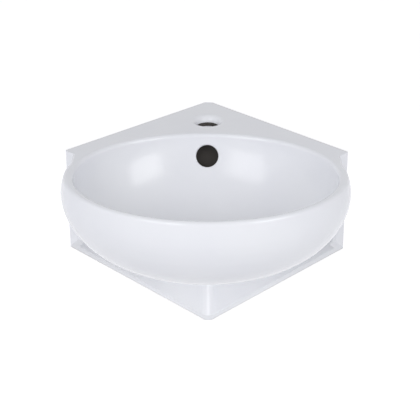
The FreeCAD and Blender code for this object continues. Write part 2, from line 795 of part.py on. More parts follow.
def groove_leg(name, hand, angle):
    """One leg of the groove: a round bar swept up a short helix, square to its path."""
    start = Placement(Vector(0, 0, size("ball_height")), Rotation(Vector(0, 0, 1), angle))
    path = doc.addObject("Part::Helix", f"{name}_path")
    bind(path, "Pitch", "groove_pitch")
    bind(path, "Height", "plug_travel")
    bind(path, "Radius", "ball_reach")
    path.LocalCoord = "Right-handed" if hand > 0 else "Left-handed"
    path.Placement = start
    lean = hand * (size("atan(groove_pitch / (2 * pi * ball_reach))") - 90)
    at_start = Placement(Vector(size("ball_reach"), 0, 0), Rotation(Vector(1, 0, 0), lean))
    bar = doc.addObject("Part::Circle", f"{name}_bar")
    bind(bar, "Radius", "groove_radius")
    bar.Placement = start.multiply(at_start)
    leg = doc.addObject("Part::Sweep", name)
    leg.Sections = [bar]
    leg.Spine = (path, ["Edge1"])
    leg.Solid = True
    leg.Frenet = True
    return leg


def groove_pocket(name, angle, height):
    """A round pocket where two legs meet and the ball rests."""
    hollow = doc.addObject("Part::Sphere", name)
    bind(hollow, "Radius", "pocket_radius")
    spot = Rotation(Vector(0, 0, 1), angle).multVec(Vector(size("ball_reach"), 0, size(height)))
    hollow.Placement = Placement(spot, Rotation())
    return hollow


def build_groove():
    """Zigzag round the stem: each cycle has a press leg, a release leg and their two resting pockets."""
    step = 360 / size("groove_legs")
    cutters = []
    for cycle in range(round(size("groove_legs / 2"))):
        angle = 2 * cycle * step
        cutters.append(groove_leg(f"press_leg_{cycle}", -1, angle))
        cutters.append(groove_leg(f"release_leg_{cycle}", 1, angle))
        cutters.append(groove_pocket(f"open_rest_{cycle}", angle, "ball_height"))
        cutters.append(groove_pocket(f"shut_rest_{cycle}", angle + step, "ball_height + plug_travel"))
    groove = doc.addObject("Part::MultiFuse", "stem_groove")
    groove.Shapes = cutters
    return groove


def build_stem():
    """Stem that carries the cap: flange, zigzag groove for the ball, stop collar and spring pilot."""
    blank = turned("stem_blank", [
        ("0", "collar_low - pilot_length"),
        ("pilot_radius", "collar_low - pilot_length"),
        ("pilot_radius", "collar_low"),
        ("collar_radius", "collar_low"),
        ("collar_radius", "collar_top"),
        ("stem_radius", "collar_top"),
        ("stem_radius", "stem_flange_low"),
        ("stem_flange_radius", "stem_flange_low"),
        ("stem_flange_radius", "plug_seal_low"),
        ("spigot_radius", "plug_seal_low"),
        ("spigot_radius", "socket_top"),
        ("0", "socket_top"),
    ])
    stem = doc.addObject("Part::Cut", "plug_stem")
    stem.Base = blank
    stem.Tool = build_groove()
    for axis, base in zip("xyz", WASTE_AT):
        bind(stem, f"Placement.Base.{axis}", base)
    doc.recompute()
    if stem.Shape.Volume >= blank.Shape.Volume:
        raise RuntimeError("the stem's groove is missing")
    return stem


def build_plug():
    """The plug: stem, rubber disc and cap, standing open."""
    edge_top = "(cap_underside + cap_edge)"
    cap = turned("plug_cap", [
        ("0", "socket_top"), ("spigot_radius", "socket_top"), ("spigot_radius", "cap_underside"),
        ("cap_radius", "cap_underside"), ("cap_radius", edge_top), ("0", f"{edge_top} + cap_crown"),
    ], WASTE_AT)
    edge_z, reach = size(edge_top), size("cap_radius")
    fillet(cap, "cap_rounded", "cap_edge_round", lambda edge: (
        abs(edge.BoundBox.ZMin - edge_z) < PICK_ROOM and edge.BoundBox.XLength > reach))
    seal = turned("plug_seal", [
        ("spigot_radius", "plug_seal_low"),
        ("plug_seal_radius - cone_lean * plug_seal_height", "plug_seal_low"),
        ("plug_seal_radius", "cap_underside"),
        ("spigot_radius", "cap_underside"),
    ], WASTE_AT)
    return [build_stem(), seal, cap]


def helix_point(turns_done, low, pitch, radius):
    """A point of the spring's centre line and its direction there."""
    angle = 2 * math.pi * turns_done
    point = Vector(radius * math.cos(angle), radius * math.sin(angle), low + pitch * turns_done)
    rise = pitch / (2 * math.pi)
    direction = Vector(-radius * math.sin(angle), radius * math.cos(angle), rise).normalize()
    return point, direction


def biarc(start, end):
    """Two tangent arcs from one point and direction to another."""
    (here, ahead), (there, onward) = start, end
    across = there - here
    along = across.dot(ahead + onward)
    spread = 2 * (1 - ahead.dot(onward))
    reach = (math.sqrt(along ** 2 + spread * across.dot(across)) - along) / spread
    corners = here + ahead * reach, there - onward * reach
    joint = (corners[0] + corners[1]) * 0.5
    arcs = []
    for first, corner, last in ((here, corners[0], joint), (joint, corners[1], there)):
        weight = (last - first).Length / reach
        crest = (first + corner * weight + last) * (1 / (2 + weight))
        arcs.append(Part.Arc(first, crest, last).toShape())
    return arcs


def least_gap(points, wire, half_turn):
    """Least free distance between stretches of the wire at least half a turn apart."""
    return min(
        (here - there).Length - wire
        for k, here in enumerate(points)
        for there in points[k + half_turn:]
    )


def build_spring():
    """Open coil spring between the collar and the base, one unbroken round wire."""
    wire, radius, turns = size("spring_wire"), size("spring_radius"), size("spring_turns")
    end_room = wire / 2 + size("spring_end_gap")
    low = size("base_top") + end_room
    pitch = (size("collar_low") - end_room - low) / turns
    knots = [helix_point(k / 4, low, pitch, radius) for k in range(round(4 * turns) + 1)]
    path = Part.Wire([arc for start, end in zip(knots, knots[1:]) for arc in biarc(start, end)])
    section = Part.Wire(Part.Circle(*knots[0], wire / 2).toShape())
    spring = doc.addObject("Part::Feature", "plug_spring")
    spring.Shape = path.makePipeShell([section], True, False)
    spring.Placement = Placement(Vector(*[size(text) for text in WASTE_AT]), Rotation())
    half_turn = 12
    samples = [
        helix_point(k / (2 * half_turn), low, pitch, radius)[0]
        for k in range(round(2 * half_turn * turns) + 1)
    ]
    print("spring: least gap between turns", round(least_gap(samples, wire, half_turn), 2), "mm")
    return spring


def build_cartridge():
    """Latch cartridge with its moving ring, snap ring, spring and closing base."""
    base = turned("cartridge_base", [
        ("0", "housing_low - base_flange"),
        ("housing_thread_low", "housing_low - base_flange"),
        ("housing_thread_low", "housing_low"),
        ("housing_bore - thread_clearance", "housing_low"),
        ("housing_bore - thread_clearance", "base_top"),
        ("pilot_radius", "base_top"),
        ("pilot_radius", "base_top + base_pilot"),
        ("0", "base_top + base_pilot"),
    ], WASTE_AT)
    snap_ring = turned("retaining_ring", ring(
        "snap_ring_inner", "snap_groove - thread_clearance", "snap_low", "snap_top"), WASTE_AT)
    return [build_housing(), *build_latch(), snap_ring, build_spring(), base]


# ---------------------------------------------------------------- wall fixings

def build_wall_pieces(name, at):
    """Nylon plug in the wall and the hanger bolt screwed into it."""
    wall_plug = turned(f"wall_plug_{name}", [
        ("0", "wall_plug_end"), ("wall_plug_radius", "wall_plug_end"), ("wall_plug_radius", "-wall_gap"),
        ("bolt_bore", "-wall_gap"), ("bolt_bore", "-bolt_depth - wall_gap"), ("0", "-bolt_depth - wall_gap"),
    ], at)
    bolt = turned(f"hanger_bolt_{name}", [
        ("0", "-bolt_depth"), ("bolt_radius", "bolt_point - bolt_depth"),
        ("bolt_radius", "bolt_reach - bolt_bevel"), ("bolt_radius - bolt_bevel", "bolt_reach"),
        ("0", "bolt_reach"),
    ], at)
    return [wall_plug, bolt]


def build_cover(name, at):
    """Plastic cover that hides the nut."""
    inner_top = "cover_top - cover_wall"
    cover = turned(f"cover_cap_{name}", [
        ("cover_inside", "sleeve_front"), ("cover_outside", "sleeve_front"), ("cover_outside", "cover_top"),
        ("0", "cover_top"), ("0", inner_top), ("cover_outside - cover_round", inner_top),
        ("cover_inside", "cover_top - cover_round"),
    ], at)
    top, reach = size("cover_top"), size("cover_outside")
    fillet(cover, f"cover_rounded_{name}", "cover_round", lambda edge: (
        edge.BoundBox.ZMin > top - PICK_ROOM and edge.BoundBox.XLength > reach))
    return cover


def build_fixings(side):
    """One wall fixing: plug and bolt, then the flanged sleeve, washer, nut and cover on the wing."""
    name = SIDE_NAMES[side]
    at = (*on_wing(str(side), "fixing_along", "0"), "-fixing_drop")
    pieces = build_wall_pieces(name, at) + [
        turned(f"sleeve_{name}", [
            ("bolt_bore", "0"), ("fixing_hole - wall_gap", "0"), ("fixing_hole - wall_gap", "wing_thickness"),
            ("sleeve_flange_radius", "wing_thickness"), ("sleeve_flange_radius", "sleeve_front"),
            ("bolt_bore", "sleeve_front"),
        ], at),
        turned(f"washer_{name}", ring(
            "bolt_radius + wall_gap", "fixing_washer_radius", "sleeve_front", "fixing_nut_low"), at),
        hexagon_nut(f"nut_{name}", "bolt_radius + fixing_nut_wall", "bolt_bore",
                    "fixing_nut_low", "fixing_nut_height", at),
        build_cover(name, at),
    ]
    for body in pieces:
        body.Placement.Rotation = Rotation(Vector(1, -side, 0), 90)
    return pieces


# ---------------------------------------------------------------- all pieces, checks and files

def build_all():
    """Every piece of the assembly."""
    pieces = [build_basin(), *build_waste(), *build_cartridge(), *build_plug()]
    for side in SIDE_NAMES:
        pieces.extend(build_fixings(side))
    return pieces


def check_and_write(pieces):
    """Stops on any failed object or bad solid, then writes one file for each piece."""
    doc.recompute()
    for item in doc.Objects:
        if "Invalid" in item.State or "Error" in item.State:
            raise RuntimeError(f"{item.Name} failed: {item.State}")
    for piece in pieces:
        shape = piece.Shape
        if shape.isNull() or not shape.isValid() or len(shape.Solids) != 1:
            raise RuntimeError(f"{piece.Label} is not one valid solid")
    os.makedirs("parts", exist_ok=True)
    for piece in pieces:
        piece.Shape.exportStep(f"parts/{piece.Label}.step")
        print(piece.Label, round(piece.Shape.Volume / 1000, 2), "cm3")


check_and_write(build_all())
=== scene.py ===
import math

import bmesh
import bpy
from mathutils import Matrix, Vector


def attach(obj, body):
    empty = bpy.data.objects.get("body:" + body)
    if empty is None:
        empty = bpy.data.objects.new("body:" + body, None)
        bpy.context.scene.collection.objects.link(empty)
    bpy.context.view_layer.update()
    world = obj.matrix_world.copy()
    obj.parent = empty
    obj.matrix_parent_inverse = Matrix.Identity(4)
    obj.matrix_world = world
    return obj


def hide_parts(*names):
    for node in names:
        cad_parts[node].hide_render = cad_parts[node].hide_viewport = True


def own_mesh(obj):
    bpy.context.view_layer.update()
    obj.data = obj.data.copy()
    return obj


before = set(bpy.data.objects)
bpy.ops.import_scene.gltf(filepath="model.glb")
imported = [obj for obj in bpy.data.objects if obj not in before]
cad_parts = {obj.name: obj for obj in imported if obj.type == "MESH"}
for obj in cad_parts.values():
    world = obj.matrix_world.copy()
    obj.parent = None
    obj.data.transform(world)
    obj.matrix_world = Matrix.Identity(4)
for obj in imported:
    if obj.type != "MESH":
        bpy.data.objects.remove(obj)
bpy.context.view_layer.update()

# ------------------------------------------------------------------ the viewpoint
# A person's eye a little under two metres in front of the corner, looking down into the bowl.
# The lens is a short telephoto, which keeps the two wall wings almost level.

EYE = (0.0238, -1.9335, 0.7251)
LOOK_DOWN = 25.538
LOOK_LEFT = 0.623
HEAD_TILT = 0.096
SENSOR_MM = 36.0
FRAME_PX = 420
FOCAL_PX = 1250.0

camera = bpy.data.objects.new("camera", bpy.data.cameras.new("camera"))
bpy.context.scene.collection.objects.link(camera)
camera.data.sensor_width = SENSOR_MM
camera.data.lens = SENSOR_MM * FOCAL_PX / FRAME_PX
camera.matrix_world = (
    Matrix.Translation(EYE)
    @ Matrix.Rotation(math.radians(LOOK_LEFT), 4, "Z")
    @ Matrix.Rotation(math.radians(90 - LOOK_DOWN), 4, "X")
    @ Matrix.Rotation(math.radians(HEAD_TILT), 4, "Z")
)
bpy.context.scene.camera = camera
bpy.context.scene.view_settings.view_transform = "Standard"

# ------------------------------------------------------------------ the studio
# A pale painted floor at the height that a wall basin leaves under it, and a white surround.
# Two softboxes stand left and right of the eye, and their windows show in the glaze.
# A small gridded fill lamp under the bowl opens up the corner between the wings.

FLOOR_DROP = 0.85
FLOOR_HALF = 6.0
ROLLER_NAP = 0.00625
FLOOR_LIFT = 0.56
AMBIENT = 0.18
HORIZON = 0.62
GLOW = 0.62
GLOW_FROM = (-0.46, -0.58, 0.67)
GLOW_TIGHTNESS = 4.0


def linear(colour):
    """An sRGB hex colour as the linear colour that shaders take."""
    channels = [int(colour[k:k + 2], 16) / 255 for k in (1, 3, 5)]
    return [c / 12.92 if c <= 0.04045 else ((c + 0.055) / 1.055) ** 2.4 for c in channels] + [1.0]


def add(tree, kind, sockets=None, **settings):
    """Adds a node to a tree. Each named socket gets a value, or a link from another node's output."""
    made = tree.nodes.new(kind)
    for key, value in settings.items():
        setattr(made, key, value)
    for key, value in (sockets or {}).items():
        if isinstance(value, bpy.types.NodeSocket):
            tree.links.new(value, made.inputs[key])
        else:
            made.inputs[key].default_value = value
    return made


def new_material(name):
    """A material with its tree and its Principled shader."""
    made = bpy.data.materials.new(name)
    made.use_nodes = True
    return made, made.node_tree, made.node_tree.nodes["Principled BSDF"]


def seen_directly(tree):
    """1 for what the eye, a mirror or a glass shows of a backdrop, and 0 for the light that it gives."""
    path = add(tree, "ShaderNodeLightPath")
    first = add(tree, "ShaderNodeMath", {0: path.outputs["Is Camera Ray"], 1: path.outputs["Is Glossy Ray"]},
                operation="MAXIMUM")
    return add(tree, "ShaderNodeMath", {0: first.outputs[0], 1: path.outputs["Is Transmission Ray"]},
               operation="MAXIMUM")


floor_mesh = bpy.data.meshes.new("floor")
floor_form = bmesh.new()
bmesh.ops.create_grid(floor_form, x_segments=8, y_segments=8, size=FLOOR_HALF,
                      matrix=Matrix.Translation((0, 0, -FLOOR_DROP)))
floor_form.to_mesh(floor_mesh)
floor_form.free()
floor = bpy.data.objects.new("floor", floor_mesh)
bpy.context.scene.collection.objects.link(floor)

# painted screed: matt and pale, with a faint roller texture, and lifted to white where it is looked at
screed, tree, shader = new_material("painted_screed")
place = add(tree, "ShaderNodeTexCoord")
roller = add(tree, "ShaderNodeTexNoise", {
    "Vector": place.outputs["Object"], "Scale": 1 / ROLLER_NAP, "Detail": 3.0})
relief = add(tree, "ShaderNodeBump", {"Height": roller.outputs[0], "Strength": 0.1, "Distance": 0.0005})
tree.links.new(relief.outputs[0], shader.inputs["Normal"])
shader.inputs["Base Color"].default_value = linear("#EFEFF0")
shader.inputs["Roughness"].default_value = 0.8
lift = add(tree, "ShaderNodeEmission", {"Color": (1, 1, 1, 1)})
share = add(tree, "ShaderNodeMath", {0: seen_directly(tree).outputs[0], 1: FLOOR_LIFT},
            operation="MULTIPLY")
tree.links.new(share.outputs[0], lift.inputs["Strength"])
both = add(tree, "ShaderNodeAddShader", {0: shader.outputs[0], 1: lift.outputs[0]})
tree.links.new(both.outputs[0], tree.nodes["Material Output"].inputs["Surface"])
floor_mesh.materials.append(screed)

# the surround: an even part, a band that is brightest at the horizon, and a soft glow from the left
world = bpy.data.worlds.new("white_surround")
bpy.context.scene.world = world
world.use_nodes = True
tree = world.node_tree
ambient = tree.nodes["Background"]
ambient.inputs["Color"].default_value = linear("#F8F9FF")
sky = add(tree, "ShaderNodeTexCoord")
split = add(tree, "ShaderNodeSeparateXYZ", {"Vector": sky.outputs["Generated"]})
slope = add(tree, "ShaderNodeMath", {0: split.outputs["Z"], 1: split.outputs["Z"]}, operation="MULTIPLY")
level = add(tree, "ShaderNodeMath", {0: 1.0, 1: slope.outputs[0]}, operation="SUBTRACT")
band = add(tree, "ShaderNodeMath", {0: level.outputs[0], 1: level.outputs[0]}, operation="MULTIPLY")
even = add(tree, "ShaderNodeMath", {0: band.outputs[0], 1: HORIZON, 2: AMBIENT}, operation="MULTIPLY_ADD")
facing = add(tree, "ShaderNodeVectorMath", {0: sky.outputs["Generated"], 1: GLOW_FROM},
             operation="DOT_PRODUCT")
toward = add(tree, "ShaderNodeMath", {0: facing.outputs["Value"], 1: 0.0}, operation="MAXIMUM")
glow = add(tree, "ShaderNodeMath", {0: toward.outputs[0], 1: GLOW_TIGHTNESS}, operation="POWER")
total = add(tree, "ShaderNodeMath", {0: glow.outputs[0], 1: GLOW, 2: even.outputs[0]},
            operation="MULTIPLY_ADD")
tree.links.new(total.outputs[0], ambient.inputs["Strength"])
shown = add(tree, "ShaderNodeBackground", {"Color": (1, 1, 1, 1), "Strength": 1.0})
mix = add(tree, "ShaderNodeMixShader",
          {0: seen_directly(tree).outputs[0], 1: ambient.outputs[0], 2: shown.outputs[0]})
tree.links.new(mix.outputs[0], tree.nodes["World Output"].inputs["Surface"])

# each lamp: where it stands, where it points, its width, height, brightness and beam
LAMPS = {
    "softbox_left": ((-0.88, -1.85, 1.0), (0, -0.25, -0.12), 0.86, 0.95, 2.6, 180),
    "softbox_right": ((1.40, -1.70, 0.95), (0, -0.25, -0.12), 0.95, 0.95, 3.3, 180),
    "fill_low": ((0, -0.55, -0.60), (0, -0.08, -0.31), 0.25, 0.25, 0.25, 50),
}
for name, (spot, target, width, height, brightness, beam) in LAMPS.items():
    lamp = bpy.data.lights.new(name, "AREA")
    lamp.shape = "RECTANGLE"
    lamp.size, lamp.size_y = width, height
    lamp.energy = brightness * math.pi * width * height
    lamp.spread = math.radians(beam)
    box = bpy.data.objects.new(name, lamp)
    bpy.context.scene.collection.objects.link(box)
    box.location = spot
    box.rotation_euler = (Vector(target) - Vector(spot)).to_track_quat("-Z", "Y").to_euler()
    box.visible_camera = False

# ------------------------------------------------------------------ the china
# One casting of vitreous china, slip cast in plaster, dried, sprayed with white glaze and fired.
# Its wall faces are wiped bare before firing, so the body's matt biscuit shows there.

DUCT_CENTRE = (0.0, -0.2740, 0.0078)
DUCT_RADIUS = 0.1440
DUCT_HALF = 0.0070
DUCT_REACH = 0.0265
DUCT_TOP = -0.0140
BARE_FROM = -0.0016
BARE_FULL = -0.0008
TAP_PLACE = (0.0, -0.088, 0.0)
TAP_BORE = 0.0184
TAP_LIP_FOOT = -0.0098

# glazed vitreous china: a cool, clean white under clear glaze, glossy, with soft clouds 110 mm across where
# the glaze lies thicker and a slight ripple; the bare biscuit is warm, matt and sandy. The ripple of 14 mm
# and the sand of 1.2 mm are coarser than the real ones, so that they show
china, tree, shader = new_material("glazed_vitreous_china")
place = add(tree, "ShaderNodeTexCoord").outputs["Object"]
cloud = add(tree, "ShaderNodeTexNoise", {"Vector": place, "Scale": 1 / 0.110, "Detail": 2.0})
glaze = add(tree, "ShaderNodeValToRGB", {"Fac": cloud.outputs[0]})
glaze.color_ramp.elements[0].position, glaze.color_ramp.elements[1].position = 0.35, 0.65
glaze.color_ramp.elements[0].color = linear("#F2F3F6")
glaze.color_ramp.elements[1].color = linear("#F5F6F8")
sand = add(tree, "ShaderNodeTexNoise", {"Vector": place, "Scale": 1 / 0.0012, "Detail": 4.0})
biscuit = add(tree, "ShaderNodeValToRGB", {"Fac": sand.outputs[0]})
biscuit.color_ramp.elements[0].position, biscuit.color_ramp.elements[1].position = 0.3, 0.7
biscuit.color_ramp.elements[0].color = linear("#D9D3C8")
biscuit.color_ramp.elements[1].color = linear("#E6E1D8")

# how far a point is off the nearer wall, where a face on the wall is bare
parts = add(tree, "ShaderNodeSeparateXYZ", {"Vector": place})
across = add(tree, "ShaderNodeMath", {0: parts.outputs["X"]}, operation="ABSOLUTE")
off = add(tree, "ShaderNodeMath", {0: parts.outputs["Y"], 1: across.outputs[0]}, operation="ADD")
bare = add(tree, "ShaderNodeMapRange", {
    "Value": off.outputs[0], "From Min": BARE_FROM, "From Max": BARE_FULL})

# the overflow duct's hollow, a bent slot round DUCT_CENTRE: unglazed and matt, and painted dark as the shade
# that falls inside it
side = add(tree, "ShaderNodeCombineXYZ", {"Y": parts.outputs["Y"], "Z": parts.outputs["Z"]})
reach = add(tree, "ShaderNodeVectorMath", {0: side.outputs[0], 1: DUCT_CENTRE}, operation="DISTANCE")
gap = add(tree, "ShaderNodeMath", {0: reach.outputs["Value"], 1: DUCT_RADIUS}, operation="SUBTRACT")
depth = add(tree, "ShaderNodeMath", {0: gap.outputs[0]}, operation="ABSOLUTE")
in_band = add(tree, "ShaderNodeMapRange", {
    "Value": depth.outputs[0], "From Min": DUCT_HALF + 0.0020, "From Max": DUCT_HALF + 0.0006})
in_width = add(tree, "ShaderNodeMath", {0: across.outputs[0], 1: DUCT_REACH}, operation="LESS_THAN")
under = add(tree, "ShaderNodeMath", {0: parts.outputs["Z"], 1: DUCT_TOP}, operation="LESS_THAN")
behind = add(tree, "ShaderNodeMath", {0: parts.outputs["Y"], 1: DUCT_CENTRE[1]},
             operation="GREATER_THAN")
slot = add(tree, "ShaderNodeMath", {0: in_width.outputs[0], 1: under.outputs[0]}, operation="MULTIPLY")
back = add(tree, "ShaderNodeMath", {0: slot.outputs[0], 1: behind.outputs[0]}, operation="MULTIPLY")
hollow = add(tree, "ShaderNodeMath", {0: back.outputs[0], 1: in_band.outputs[0]}, operation="MULTIPLY")

# the tap hole's bore below its glazed lip, raw and matt, and painted dark as the shade seen down the hole
plan = add(tree, "ShaderNodeCombineXYZ", {"X": parts.outputs["X"], "Y": parts.outputs["Y"]})
from_tap = add(tree, "ShaderNodeVectorMath", {0: plan.outputs[0], 1: TAP_PLACE}, operation="DISTANCE")
in_bore = add(tree, "ShaderNodeMath", {0: from_tap.outputs["Value"], 1: TAP_BORE}, operation="LESS_THAN")
below = add(tree, "ShaderNodeMath", {0: parts.outputs["Z"], 1: TAP_LIP_FOOT}, operation="LESS_THAN")
bore = add(tree, "ShaderNodeMath", {0: in_bore.outputs[0], 1: below.outputs[0]}, operation="MULTIPLY")
# painted shade mask: the duct's hollow or the tap hole's bore
painted_shade = add(tree, "ShaderNodeMath", {0: hollow.outputs[0], 1: bore.outputs[0]}, operation="MAXIMUM")

skin = add(tree, "ShaderNodeMix", {
    "Factor": bare.outputs[0], "A": glaze.outputs[0], "B": biscuit.outputs[0]}, data_type="RGBA")
# painted shade: the duct's hollow and the tap bore take a flat dark grey in place of the glaze
tint = add(tree, "ShaderNodeMix", {
    "Factor": painted_shade.outputs[0], "A": skin.outputs[2], "B": linear("#4A4642")}, data_type="RGBA")
tree.links.new(tint.outputs[2], shader.inputs["Base Color"])
dry = add(tree, "ShaderNodeMath", {0: bare.outputs[0], 1: painted_shade.outputs[0]}, operation="MAXIMUM")
gloss = add(tree, "ShaderNodeMapRange", {"Value": dry.outputs[0], "To Min": 0.17, "To Max": 0.85})
tree.links.new(gloss.outputs[0], shader.inputs["Roughness"])
ripple = add(tree, "ShaderNodeTexNoise", {"Vector": place, "Scale": 1 / 0.014, "Detail": 1.0})
peel = add(tree, "ShaderNodeBump", {"Height": ripple.outputs[0], "Strength": 0.25, "Distance": 0.0003})
grit = add(tree, "ShaderNodeMath", {0: dry.outputs[0], 1: sand.outputs[0]}, operation="MULTIPLY")
relief = add(tree, "ShaderNodeBump", {
    "Height": grit.outputs[0], "Strength": 0.4, "Distance": 0.0002, "Normal": peel.outputs[0]})
tree.links.new(relief.outputs[0], shader.inputs["Normal"])
shader.inputs["IOR"].default_value = 1.5
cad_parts["basin_body"].material_slots[0].material = china

# ------------------------------------------------------------------ the wall plugs
# Two grey nylon plugs, 14 mm thick and 60 mm long, pushed into drilled holes in the walls.
# Saw-tooth barbs ring them, and a slot lets the far part spread when the bolt is driven in.

WALL_SIDES = {"left": -1, "right": 1}
FIXING_ALONG = 0.155
FIXING_DROP = 0.150
PLUG_RADIUS = 0.007
BARB_STEP = 0.005
BARB_COUNT = 10
BARB_DEPTH = 0.0008
BARB_START = -0.0575
BARB_LENGTH_SHARE = 0.8
BARB_SIDES = 48
SPLIT_WIDTH = 0.0012
SPLIT_SPAN = 0.016
SPLIT_LENGTH = 0.043
SPLIT_MIDDLE = -0.0405
CREASE_DEGREES = 28


def shape_tree(name, sizes, material, form):
    """A Geometry Nodes tree with named sizes. form makes its geometry, which ends real and painted."""
    tree = bpy.data.node_groups.new(name, "GeometryNodeTree")
    tree.interface.new_socket("Geometry", in_out="OUTPUT", socket_type="NodeSocketGeometry")
    for label in sizes:
        tree.interface.new_socket(label, in_out="INPUT", socket_type="NodeSocketFloat")
    made = form(tree, add(tree, "NodeGroupInput").outputs)
    real = add(tree, "GeometryNodeRealizeInstances", {"Geometry": made})
    painted = add(tree, "GeometryNodeSetMaterial", {"Geometry": real.outputs[0], "Material": material})
    add(tree, "NodeGroupOutput", {"Geometry": painted.outputs[0]})
    return tree


def plain_mesh(piece):
    """The mesh that a piece's modifiers give, which then takes their place."""
    seen = piece.evaluated_get(bpy.context.evaluated_depsgraph_get())
    mesh = bpy.data.meshes.new_from_object(seen)
    piece.modifiers.clear()
    piece.data = mesh
    return piece


def grown(name, tree, at=None, **sizes):
    """A piece that a tree makes with these sizes, its place in its mesh."""
    piece = bpy.data.objects.new(name, bpy.data.meshes.new(name))
    bpy.context.scene.collection.objects.link(piece)
    modifier = piece.modifiers.new("form", "NODES")
    modifier.node_group = tree
    for socket in tree.interface.items_tree:
        if socket.in_out == "INPUT":
            modifier[socket.identifier] = float(sizes[socket.name])
    plain_mesh(piece)
    form = bmesh.new()
    form.from_mesh(piece.data)
    bmesh.ops.remove_doubles(form, verts=form.verts, dist=1e-7)
    bmesh.ops.recalc_face_normals(form, faces=form.faces)
    bmesh.ops.transform(form, matrix=at or Matrix(), verts=form.verts)
    form.to_mesh(piece.data)
    form.free()
    return piece


def welded_copy(node, name):
    """A copy of a CAD piece with its triangles joined, so that it can be cut."""
    piece = bpy.data.objects.new(name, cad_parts[node].data.copy())
    bpy.context.scene.collection.objects.link(piece)
    if "custom_normal" in piece.data.attributes:
        piece.data.attributes.remove(piece.data.attributes["custom_normal"])
    form = bmesh.new()
    form.from_mesh(piece.data)
    bmesh.ops.remove_doubles(form, verts=form.verts, dist=1e-6)
    form.to_mesh(piece.data)
    form.free()
    return piece


def cut(piece, cutter, material):
    """Cuts the cutter's form out of a piece, shades its edges crisp and paints it."""
    tool = piece.modifiers.new("cut", "BOOLEAN")
    tool.solver = "MANIFOLD"
    tool.object = cutter
    plain_mesh(piece)
    bpy.data.objects.remove(cutter)
    piece.data.materials.clear()
    piece.data.materials.append(material)
    for face in piece.data.polygons:
        face.material_index = 0
        face.use_smooth = True
    piece.data.set_sharp_from_angle(angle=math.radians(CREASE_DEGREES))
    return piece


def fixing_place(side):
    """The frame of one wall fixing: on the wall's face, its Z straight out of the wall."""
    reach = FIXING_ALONG / math.sqrt(2)
    outward = Vector((-side, -1, 0)).normalized()
    turn = outward.to_track_quat("Z", "Y").to_matrix().to_4x4()
    return Matrix.Translation((side * reach, -reach, -FIXING_DROP)) @ turn


# moulded nylon: waxy grey, softly shiny, with the even grain of a spark-eroded mould, drawn at 0.6 mm so
# that it shows
nylon, tree, shader = new_material("moulded_nylon")
place = add(tree, "ShaderNodeTexCoord").outputs["Object"]
flow = add(tree, "ShaderNodeTexNoise", {"Vector": place, "Scale": 1 / 0.012, "Detail": 2.0})
tint = add(tree, "ShaderNodeValToRGB", {"Fac": flow.outputs[0]})
tint.color_ramp.elements[0].position, tint.color_ramp.elements[1].position = 0.35, 0.65
tint.color_ramp.elements[0].color = linear("#9A9D9F")
tint.color_ramp.elements[1].color = linear("#A9ACAD")
tree.links.new(tint.outputs[0], shader.inputs["Base Color"])
grain = add(tree, "ShaderNodeTexNoise", {"Vector": place, "Scale": 1 / 0.0006, "Detail": 2.0})
relief = add(tree, "ShaderNodeBump", {"Height": grain.outputs[0], "Strength": 0.35, "Distance": 0.00005})
tree.links.new(relief.outputs[0], shader.inputs["Normal"])
shader.inputs["Roughness"].default_value = 0.48
shader.inputs["IOR"].default_value = 1.53


def barb_rings(tree, sizes):
    """Rings of a saw-tooth section in a row along Z."""
    tip = add(tree, "ShaderNodeCombineXYZ", {"X": sizes["Depth"]})
    inner = add(tree, "ShaderNodeMath", {0: sizes["Depth"], 1: -1.0}, operation="MULTIPLY")
    long = add(tree, "ShaderNodeMath", {0: sizes["Step"], 1: BARB_LENGTH_SHARE}, operation="MULTIPLY")
    section = add(tree, "GeometryNodeCurvePrimitiveQuadrilateral", {
        "Point 1": add(tree, "ShaderNodeCombineXYZ", {"X": inner.outputs[0]}).outputs[0],
        "Point 2": tip.outputs[0],
        "Point 3": add(tree, "ShaderNodeCombineXYZ", {"X": sizes["Depth"], "Y": long.outputs[0]}).outputs[0],
        "Point 4": add(tree, "ShaderNodeCombineXYZ", {"Y": long.outputs[0]}).outputs[0],
    }, mode="POINTS")
    loop = add(tree, "GeometryNodeCurvePrimitiveCircle", {
        "Resolution": BARB_SIDES, "Radius": sizes["Radius"]})
    ring = add(tree, "GeometryNodeCurveToMesh", {
        "Curve": loop.outputs[0], "Profile Curve": section.outputs[0]})
    start = add(tree, "ShaderNodeCombineXYZ", {"Z": sizes["Start"]})
    step = add(tree, "ShaderNodeCombineXYZ", {"Z": sizes["Step"]})
    row = add(tree, "GeometryNodeMeshLine", {
        "Count": sizes["Count"], "Start Location": start.outputs[0], "Offset": step.outputs[0]})
    return add(tree, "GeometryNodeInstanceOnPoints", {
        "Points": row.outputs[0], "Instance": ring.outputs[0]}).outputs[0]


barbs = shape_tree("plug_barbs", ("Radius", "Depth", "Start", "Step", "Count"), nylon, barb_rings)
for side_name, side in WALL_SIDES.items():
    place = fixing_place(side)
    piece = welded_copy(f"wall_plug_{side_name}", f"wall_plug_{side_name}_barbed")
    cutter = grown("barb_cutter", barbs, place, Radius=PLUG_RADIUS, Depth=BARB_DEPTH,
                   Start=BARB_START, Step=BARB_STEP, Count=BARB_COUNT)
    cut(piece, cutter, nylon)
    split = bmesh.new()
    bmesh.ops.create_cube(split, size=1.0, matrix=place @ Matrix.Translation((0, 0, SPLIT_MIDDLE))
                          @ Matrix.Diagonal((SPLIT_WIDTH, SPLIT_SPAN, SPLIT_LENGTH, 1)))
    split_mesh = bpy.data.meshes.new("split_cutter")
    split.to_mesh(split_mesh)
    split.free()
    splitter = bpy.data.objects.new("split_cutter", split_mesh)
    bpy.context.scene.collection.objects.link(splitter)
    cut(piece, splitter, nylon)
    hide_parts(f"wall_plug_{side_name}")
    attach(piece, "basin")

# ------------------------------------------------------------------ the hanger bolts, washers and nuts
# Two M10 hanger bolts of zinc plated steel, screwed into the plugs. They reach through the wings,
# and a washer and a hexagon nut on each pull the china against the wall.

